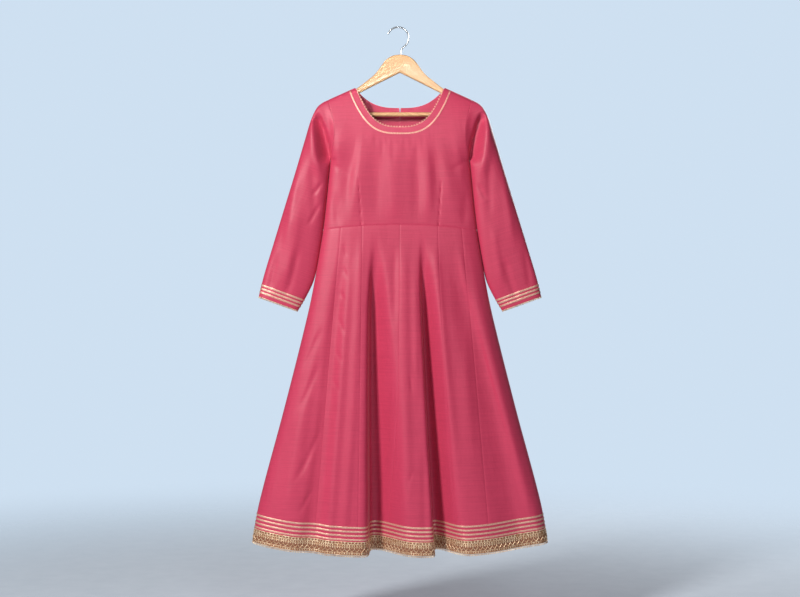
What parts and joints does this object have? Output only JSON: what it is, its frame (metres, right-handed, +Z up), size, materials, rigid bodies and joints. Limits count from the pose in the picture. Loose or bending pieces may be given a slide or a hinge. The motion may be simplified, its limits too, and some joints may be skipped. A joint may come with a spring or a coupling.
{
  "type": "anarkali gown on a hanger",
  "caption": "Long-sleeved anarkali gown with flared kali skirt and gold trimmings, hung nearly flat on a wooden hanger by its wire hook.",
  "frame": {"origin": "inside top of the hook's arch, where a nail or rail carries the hanger", "axes": "+Z up, +X to the right of someone facing the gown's front, +Y towards its back"},
  "size_m": [0.7706, 0.1404, 1.3692],
  "materials": {
    "silk": "slubbed silk with a soft sheen",
    "gold_line": "woven metallic gold thread",
    "gold_lace": "antique gold lace",
    "wood": "clear satin lacquer",
    "wire": "bright plated"
  },
  "bodies": {
    "root": {"bodice_front": "silk", "bodice_back_left": "silk", "bodice_back_right": "silk", "sleeve_left": "silk", "sleeve_right": "silk", "skirt_front_1": "silk", "skirt_front_2": "silk", "skirt_front_3": "silk", "skirt_front_4": "silk", "skirt_front_5": "silk", "skirt_front_6": "silk", "skirt_back_1": "silk", "skirt_back_2": "silk", "skirt_back_3": "silk", "skirt_back_4": "silk", "skirt_back_5": "silk", "skirt_back_6": "silk", "neck_line": "gold_line", "hem_line_1": "gold_line", "hem_line_2": "gold_line", "hem_line_3": "gold_line", "hem_line_4": "gold_line", "cuff_left_line_1": "gold_line", "cuff_left_line_2": "gold_line", "cuff_left_line_3": "gold_line", "cuff_right_line_1": "gold_line", "cuff_right_line_2": "gold_line", "cuff_right_line_3": "gold_line", "hem_lace": "gold_lace", "neck_edging": "gold_lace", "cuff_left_edging": "gold_lace", "cuff_right_edging": "gold_lace", "hanger_body": "wood", "hanger_bar": "wood", "hanger_hook": "wire"}
  },
  "joints": []
}
